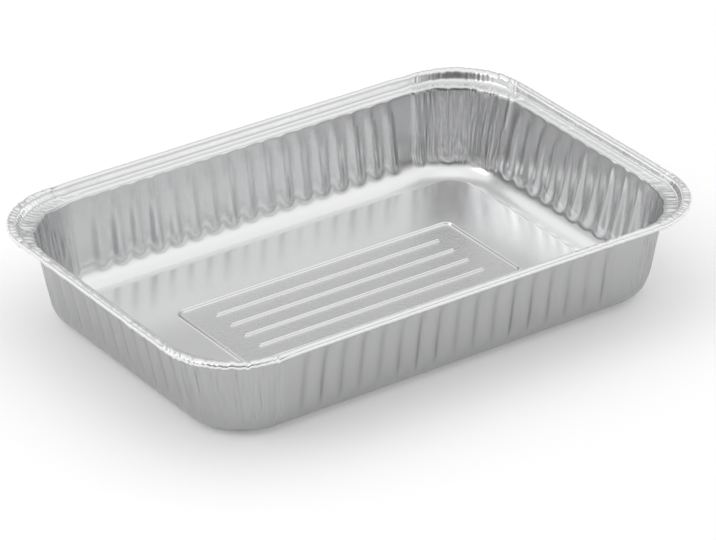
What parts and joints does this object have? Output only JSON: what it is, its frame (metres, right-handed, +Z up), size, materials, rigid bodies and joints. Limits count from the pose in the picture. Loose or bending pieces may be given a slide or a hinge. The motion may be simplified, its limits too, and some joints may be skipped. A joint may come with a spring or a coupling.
{
  "type": "foil drip pan",
  "caption": "Shallow rectangular drip pan pressed from one sheet of aluminium foil, with fluted sloping walls, gathered round corners and a curled rim.",
  "frame": {"origin": "centre of the base, on the surface the pan stands on", "axes": "+Z up, +X along the pan's long side, +Y across it; open at the top"},
  "size_m": [0.218, 0.15, 0.038],
  "materials": {
    "foil": "bright rolled foil"
  },
  "bodies": {
    "root": {"drip_pan": "foil"}
  },
  "joints": []
}
